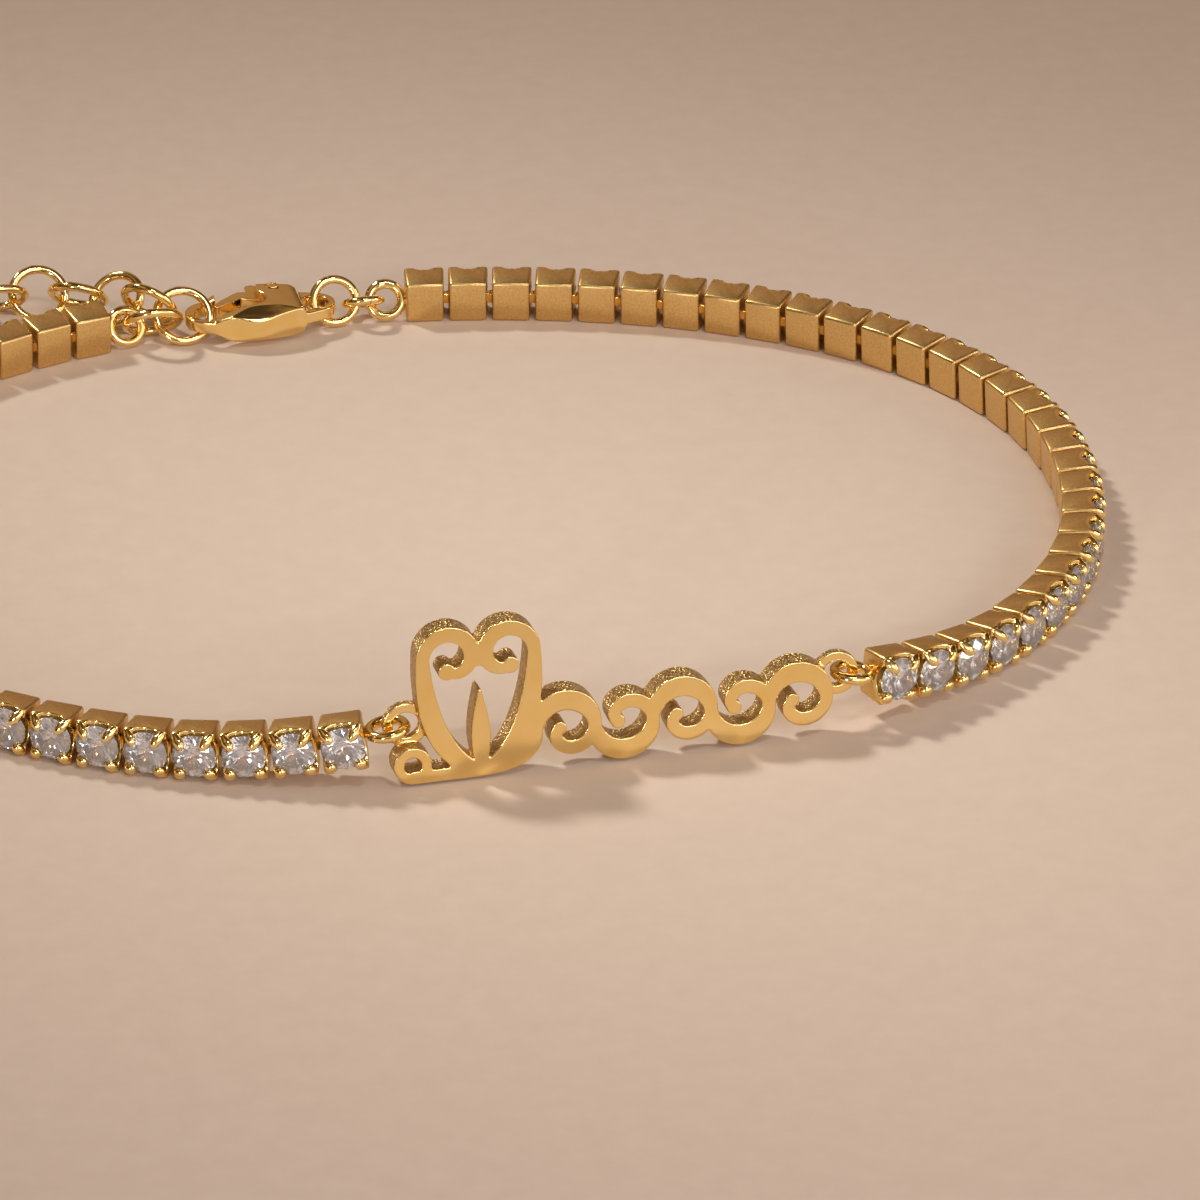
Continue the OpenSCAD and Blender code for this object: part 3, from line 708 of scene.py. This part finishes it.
def make_ring(radius, wire, joint_degrees=0.0):
    bpy.ops.mesh.primitive_circle_add(
        vertices=WIRE_SIDES, radius=wire / 2, location=(radius, 0, 0),
        rotation=(math.pi / 2, 0, 0))
    ring = settle(bpy.context.object)
    pick(ring, lambda co: True)
    bpy.ops.mesh.spin(steps=RING_STEPS, angle=math.radians(360 - joint_degrees),
                      center=(0, 0, 0), axis=(0, 0, 1))
    bpy.ops.mesh.select_all(action="SELECT")
    bpy.ops.mesh.remove_doubles(threshold=0.0005)
    if joint_degrees:
        bpy.ops.mesh.fill_holes(sides=WIRE_SIDES + 2)
    bpy.ops.mesh.select_all(action="SELECT")
    bpy.ops.mesh.normals_make_consistent(inside=False)
    done()
    if not joint_degrees:
        pick(ring, lambda co: co.x > 0 and abs(co.y) < SWELLING_HALF)
        bpy.ops.transform.resize(value=(SWELLING, 1, SWELLING),
                                 center_override=(radius, 0, 0))
        done()
    return ring


# %% A drop of solder where a ring meets a wall
def make_solder(place, size):
    bpy.ops.mesh.primitive_uv_sphere_add(segments=12, ring_count=8, radius=1, location=place)
    drop = bpy.context.object
    drop.scale = size
    settle(drop)
    pick(drop, lambda co: abs(co.x - place[0]) < size[0] * 0.45)
    bpy.ops.transform.resize(value=(1, 0.8, 0.8), center_override=place)
    done()
    return drop


# %% [markdown]
# The hinge is an eye on one box that turns on a pin inside the next box. The eye is a flat
# cylinder joined to a short tongue, with a drilled hole. The pin is a rod with softened ends.

# %% The hinge's eye and pin
def make_eye():
    bpy.ops.mesh.primitive_cylinder_add(vertices=28, radius=EYE_R, depth=EYE_T)
    eye = settle(bpy.context.object)
    tongue_length = eye_reach + TONGUE_IN
    bpy.ops.mesh.primitive_cube_add(size=1, location=(tongue_length / 2, 0, 0))
    tongue = bpy.context.object
    tongue.scale = (tongue_length, TONGUE_W, EYE_T * (1 - 2 * HAIR))
    cut(eye, settle(tongue), operation="UNION")
    bpy.ops.mesh.primitive_cylinder_add(vertices=24, radius=EYE_HOLE_R, depth=2)
    cut(eye, settle(bpy.context.object))
    return finish_with(eye, "BEVEL", width=0.03, segments=1, limit_method="ANGLE",
                       angle_limit=math.radians(40), use_clamp_overlap=False)


def make_pin(pin_x):
    bpy.ops.mesh.primitive_cylinder_add(
        vertices=16, radius=PIN_D / 2, depth=SLOT_H + 0.1, location=(pin_x, 0, 0))
    pin = settle(bpy.context.object)
    pick(pin, lambda at, normal: abs(normal.z) > 0.9, "FACE")
    bpy.ops.mesh.bevel(offset=0.03, segments=1)
    done()
    return pin


# %% A flat map of the walls, read by the settings' gold
# Faces this far inside the box's own surface belong to the seat and the scoops
WALL_SKIN = 0.07
BACK_SKIN = 0.08


def map_walls(box):
    layer = box.data.uv_layers.get("walls") or box.data.uv_layers.new(name="walls")
    rim_centre = SETTING_DEPTH - SCOOP_DEPTH + SCOOP_R
    side_centre = SETTING_DEPTH - SIDE_SCOOP_DEPTH + SIDE_SCOOP_R
    side_share = SCOOP_R / SIDE_SCOOP_R
    for face in box.data.polygons:
        at = face.center
        share = min(max(at.y / SETTING_DEPTH, 0), 1)
        wide = (SETTING_BACK_W + (SETTING_W - SETTING_BACK_W) * share) / 2
        tall = (SETTING_BACK_H + (SETTING_H - SETTING_BACK_H) * share) / 2
        outer = (abs(at.x) > wide - WALL_SKIN or abs(at.z) > tall - WALL_SKIN
                 or at.y < BACK_SKIN)
        on_side = abs(at.x) / wide > abs(at.z) / tall
        for loop in face.loop_indices:
            co = box.data.vertices[box.data.loops[loop].vertex_index].co
            if not outer:
                spot = (0, rim_centre)
            elif on_side:
                spot = (co.z * side_share, rim_centre - (side_centre - co.y) * side_share)
            else:
                spot = (co.x, co.y)
            layer.data[loop].uv = (spot[0] / UV_STEP, spot[1] / UV_STEP)


# %% A whole link: the box, its claws, and a hinge or a soldered ring at each end
END_RING_Z = 1.0
END_RING_TILT = math.radians(60)
# The turn of each ring about itself, which brings its soldered joint round to the side
FIRST_RING_ROLL = math.radians(110)
LAST_RING_ROLL = math.radians(70)
FIRST_SOLDER = (0.13, 0.34, 0.3)
LAST_SOLDER = (0.13, 0.3, 0.3)


def make_link(name, first, last):
    reach = ring_reach if first else eye_reach
    pin_x = reach + SETTING_W - PIN_INSET
    box = make_box()
    cut(box, make_seat_bur(), make_file(SCOOP_R, SCOOP_DEPTH, "Z"),
        make_file(SCOOP_R, LOW_SCOOP_DEPTH, "Z", LOW_FILE_SHIFT),
        make_file(SIDE_SCOOP_R, SIDE_SCOOP_DEPTH, "X"))
    place = box_frame(0 if first else 1)
    box.data.transform(place)
    if not last:
        cut(box, make_slot(pin_x))
    finish_with(box, "BEVEL", width=0.035, segments=2, limit_method="ANGLE",
                angle_limit=math.radians(38), use_clamp_overlap=False)
    box.data.transform(place.inverted())
    map_walls(box)
    box.data.transform(place)
    dress(box, setting_gold)
    others = []
    for sx in (-1, 1):
        for sz in (-1, 1):
            claw = make_claw(sx, sz)
            claw.data.transform(place)
            others.append(claw)
    if not first:
        others.append(make_eye())
    if not last:
        others.append(make_pin(pin_x))
    if first:
        ring = make_ring(end_ring_r, END_RING_WIRE)
        ring.data.transform(Matrix.Translation((0, 0, RING_LEVEL))
                            @ Matrix.Rotation(FIRST_RING_ROLL, 4, "Z"))
        others += [ring, make_solder((ring_reach, 0, RING_LEVEL), FIRST_SOLDER)]
    if last:
        wall, level = reach + SETTING_W, END_RING_Z - hinge_z
        ring = make_ring(end_ring_r, END_RING_WIRE)
        ring.data.transform(Matrix.Translation((wall + ring_reach, 0, level))
                            @ Matrix.Rotation(END_RING_TILT, 4, "X")
                            @ Matrix.Rotation(LAST_RING_ROLL, 4, "Z"))
        others += [ring, make_solder((wall, 0, level), LAST_SOLDER)]
    for other in others:
        dress(other, polished_gold)
    link = joined(name, [box] + others)
    print(name, triangles(link), "triangles")
    return link


first_link = make_link("first_link", True, False)
middle_link = make_link("middle_link", False, False)
last_link = make_link("last_link", False, True)


# %% [markdown]
# ## The two rows
# Every link gets its own copy of the mesh, set into its own frame. The right row is the mirror
# of the left one, so its copies are turned right side out again.

# %% Copies along a row, joined into one piece
def make_row(name, frames, body, replaced):
    copies = []
    for i, place in enumerate(frames):
        master = first_link if i == 0 else last_link if i == STONES - 1 else middle_link
        link = copy_of(f"{name}_{i}", master)
        whole = Matrix.Scale(MM, 4) @ Matrix.Translation(to_frame) @ place
        link.data.transform(whole)
        if whole.determinant() < 0:
            link.data.flip_normals()
        copies.append(link)
    row = joined(name, copies)
    smooth(row)
    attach(row, body)
    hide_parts(replaced)
    print(name, triangles(row), "triangles")


make_row("right_row_settings", right_frames, "bracelet", "right_settings")
make_row("left_row_settings", left_frames, "bracelet", "left_settings")
for master in (first_link, middle_link, last_link):
    bpy.data.objects.remove(master, do_unlink=True)

# %% [markdown]
# ## Rings and chain
# Each ring lies where its measured solid lies. A copy of the solid is taken apart into its
# loose rings, and each gives its middle and the direction that it faces. The jump rings are
# bent shut with a fine butt joint, and the chain's links are soldered, with a small swelling.

# %% Where each ring of a node lies
def ring_frames(node_name):
    copy = copy_of("loose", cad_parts[node_name])
    pick(copy, lambda co: True)
    bpy.ops.mesh.remove_doubles(threshold=1e-7)
    bpy.ops.mesh.separate(type="LOOSE")
    done()
    found = []
    for part in list(bpy.context.selected_objects):
        points = np.array([tuple(v.co) for v in part.data.vertices]) / MM
        axes = np.linalg.svd(points - points.mean(0), full_matrices=False)[2]
        along = points @ axes.T
        middle = axes.T @ ((along.max(0) + along.min(0)) / 2)
        sizes = along.max(0) - along.min(0)
        found.append((Vector(middle), Vector(axes[2]), float(sizes[0]), float(sizes[2])))
        bpy.data.objects.remove(part, do_unlink=True)
    return found


def lay_rings(name, node_name, joint_degrees):
    rings = []
    rolls = random.Random(len(node_name))
    for middle, faces, outside, wire in ring_frames(node_name):
        ring = make_ring((outside - wire) / 2, wire, joint_degrees)
        ring.data.transform(Matrix.Scale(MM, 4) @ Matrix.Translation(middle)
                            @ faces.to_track_quat("Z", "X").to_matrix().to_4x4()
                            @ Matrix.Rotation(rolls.uniform(0, math.tau), 4, "Z"))
        rings.append(ring)
    piece = joined(name, rings)
    dress(piece, polished_gold)
    smooth(piece, 50)
    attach(piece, "bracelet")
    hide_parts(node_name)
    print(name, len(rings), "rings,", triangles(piece), "triangles")


BUTT_JOINT_DEGREES = 2.0
lay_rings("jump_ring_by_row", "small_jump_ring", BUTT_JOINT_DEGREES)
lay_rings("jump_ring_by_clasp", "large_jump_ring", BUTT_JOINT_DEGREES)
lay_rings("chain_links", "extension_chain", 0.0)

# %% [markdown]
# ## The nameplate
# The openwork plate is one casting. A copy of its solid is laid flat, so that its faces line up
# with the grid of a fine remesh, and is then smoothed a little. This rounds every edge evenly,
# as tumbling and buffing do, and keeps the front flat.

# %% A remeshed and softened copy of a solid
def softened(name, node_name, flat_turn, voxel, passes, body, material, keep=1.0,
             rounding=None):
    piece = copy_of(name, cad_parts[node_name])
    piece.data.transform(flat_turn @ Matrix.Scale(1 / MM, 4))
    pick(piece, lambda co: True)
    bpy.ops.mesh.remove_doubles(threshold=0.0001)
    bpy.ops.mesh.normals_make_consistent(inside=False)
    done()
    if rounding:
        cut(piece, rounding(piece), operation="INTERSECT")
    finish_with(piece, "REMESH", mode="VOXEL", voxel_size=voxel, use_smooth_shade=True)
    finish_with(piece, "SMOOTH", factor=0.5, iterations=passes)
    if keep < 1:
        finish_with(piece, "DECIMATE", ratio=keep)
    piece.data.transform(Matrix.Scale(MM, 4) @ flat_turn.inverted())
    dress(piece, material)
    for face in piece.data.polygons:
        face.use_smooth = True
    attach(piece, body)
    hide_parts(node_name)
    print(name, triangles(piece), "triangles")


plate_flat = Matrix.Rotation(PLATE_LEAN - math.pi / 2, 4, "X")
softened("openwork_nameplate", "nameplate", plate_flat, 0.045, 12, "bracelet", plate_gold,
         keep=0.45)

# %% [markdown]
# ## The clasp
# The body is a hollowed hook with a thin eye and a thin nose, and a thumb lever closes it. Both
# are softened in the same way, turned to the clasp's own direction. The hook is first cut down
# to a pebble, so that it is full in the middle and thin at its rim. The small lever gets a
# finer grid.

# %% Clasp body, lever and the riveted pin
clasp_turn = Matrix.Rotation(-math.atan2(
    left_row[-1].y - right_row[-1].y, left_row[-1].x - right_row[-1].x), 4, "Z")


# The pebble: its middle, in from the hook's lowest X and highest Y, its half sizes, and its
# caps above and below, which are spread a little
PEBBLE_IN = (4.1, 2.05)
PEBBLE_HALF = (4.35, 2.25, 1.15)
CAP_MIDDLE_Z = 1.02
CAP_FROM = 0.9
CAP_SPREAD = (1.12, 1.06, 1)


def make_pebble(piece):
    points = np.array([tuple(v.co) for v in piece.data.vertices])
    low, high = points.min(0), points.max(0)
    x, y = low[0] + PEBBLE_IN[0], high[1] - PEBBLE_IN[1]
    bpy.ops.mesh.primitive_uv_sphere_add(
        segments=64, ring_count=32, radius=1, location=(x, y, (low[2] + high[2]) / 2))
    pebble = bpy.context.object
    pebble.scale = PEBBLE_HALF
    settle(pebble)
    pick(pebble, lambda co: abs(co.z - CAP_MIDDLE_Z) > CAP_FROM)
    bpy.ops.transform.resize(value=CAP_SPREAD, center_override=(x, y, CAP_MIDDLE_Z))
    done()
    return pebble


softened("clasp_hook", "clasp_body", clasp_turn, 0.045, 12, "bracelet", polished_gold,
         rounding=make_pebble)
softened("thumb_lever", "clasp_lever", clasp_turn, 0.03, 10, "lever", polished_gold)

low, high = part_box("clasp_pin")
pin_middle = (low + high) / 2 / MM
pin_size = (high - low) / MM
bpy.ops.mesh.primitive_cylinder_add(
    vertices=32, radius=pin_size.x / 2, depth=pin_size.z, location=pin_middle)
rivet = settle(bpy.context.object)
pick(rivet, lambda at, normal: abs(normal.z) > 0.9, "FACE")
bpy.ops.mesh.bevel(offset=0.05, segments=2)
bpy.ops.mesh.inset(thickness=0.08, depth=0.02)
done()
rivet.data.transform(Matrix.Scale(MM, 4))
rivet.name = "lever_rivet"
dress(rivet, polished_gold)
smooth(rivet)
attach(rivet, "bracelet")
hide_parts("clasp_pin")

# %% [markdown]
# ## Floor and light
# The bracelet lies on plain warm paper. A narrow soft spot stands high behind and to the left,
# so it leaves a pool of light on the paper and the shadows fall towards the camera. Thin panels
# in front, above and to the right give the gold and the stones their sparkle. The room is warm,
# dim and patchy, and brighter in front, so the gold has bright and dark things to reflect.

# %% The paper
def make_paper():
    material, tree, shader = new_material("warm_paper")
    fibre = object_noise(tree, 700, detail=4, roughness=0.6)
    tone = blend_colours(tree, spread(tree, fibre, 0, 1), (0.70, 0.560, 0.445, 1),
                         (0.73, 0.590, 0.472, 1))
    tree.links.new(tone, shader.inputs["Base Color"])
    shader.inputs["Roughness"].default_value = 0.85
    bump_from(tree, shader, fibre, 0.05, 0.0001)
    return material


PAPER_GAP = 0.00001
bpy.ops.mesh.primitive_plane_add(size=3, location=(0, 0, measured_box[0][2] - PAPER_GAP))
paper = bpy.context.object
paper.name = "paper"
dress(paper, make_paper())


# %% The lights
def add_light(kind, name, place, target, power, colour):
    bpy.ops.object.light_add(type=kind, location=place)
    light = bpy.context.object
    light.name = name
    light.data.energy = power
    light.data.color = colour
    aim = Vector(target) - Vector(place)
    light.rotation_euler = aim.to_track_quat("-Z", "Y").to_euler()
    return light.data


def add_panel(name, place, width, height, power, colour):
    panel = add_light("AREA", name, place, (0, 0, 0), power, colour)
    panel.shape = "RECTANGLE"
    panel.size = width
    panel.size_y = height


key = add_light("SPOT", "key_spot", (-0.20, 0.26, 0.38), (0.006, -0.012, 0), 9.6,
                (1, 0.98, 0.94))
key.spot_size = math.radians(12)
key.spot_blend = 1
key.shadow_soft_size = 0.045
add_panel("front_panel", (0.10, -0.42, 0.20), 0.30, 0.03, 0.36, (1, 0.98, 1))
add_panel("low_front_panel", (-0.25, -0.36, 0.08), 0.04, 0.12, 0.34, (1, 0.99, 1))
add_panel("over_panel", (0.03, -0.20, 0.42), 0.16, 0.02, 0.30, (1, 0.98, 1))
add_panel("side_panel", (0.42, -0.10, 0.16), 0.04, 0.20, 0.18, (1, 0.98, 0.96))

# %% The room around the table
world = bpy.data.worlds.new("studio")
bpy.context.scene.world = world
world.use_nodes = True
tree = world.node_tree
sky = tree.nodes["Background"]
place = add_node(tree, "ShaderNodeTexCoord")
split = add_node(tree, "ShaderNodeSeparateXYZ")
height = spread(tree, split.outputs["Z"], 0, 1, -0.1, 0.9)
tree.links.new(place.outputs["Generated"], split.inputs[0])
LOW_ROOM = (0.15, 0.085, 0.045, 1)
HIGH_ROOM = (0.27, 0.18, 0.115, 1)
WINDOW = (0.92, 0.84, 0.83, 1)
room = blend_colours(tree, height, LOW_ROOM, HIGH_ROOM)
towards_window = add_node(tree, "ShaderNodeVectorMath", operation="DOT_PRODUCT")
towards_window.inputs[1].default_value = (0.42, -0.90, 0.10)
tree.links.new(place.outputs["Generated"], towards_window.inputs[0])
window_side = spread(tree, towards_window.outputs["Value"], 0, 1, 0.40, 0.98)
tree.links.new(blend_colours(tree, window_side, room, WINDOW), sky.inputs["Color"])
patches = add_node(tree, "ShaderNodeTexNoise", Scale=1.6, Detail=1)
tree.links.new(place.outputs["Generated"], patches.inputs["Vector"])
tree.links.new(spread(tree, patches.outputs["Fac"], 0.22, 1.75, 0.38, 0.62),
               sky.inputs["Strength"])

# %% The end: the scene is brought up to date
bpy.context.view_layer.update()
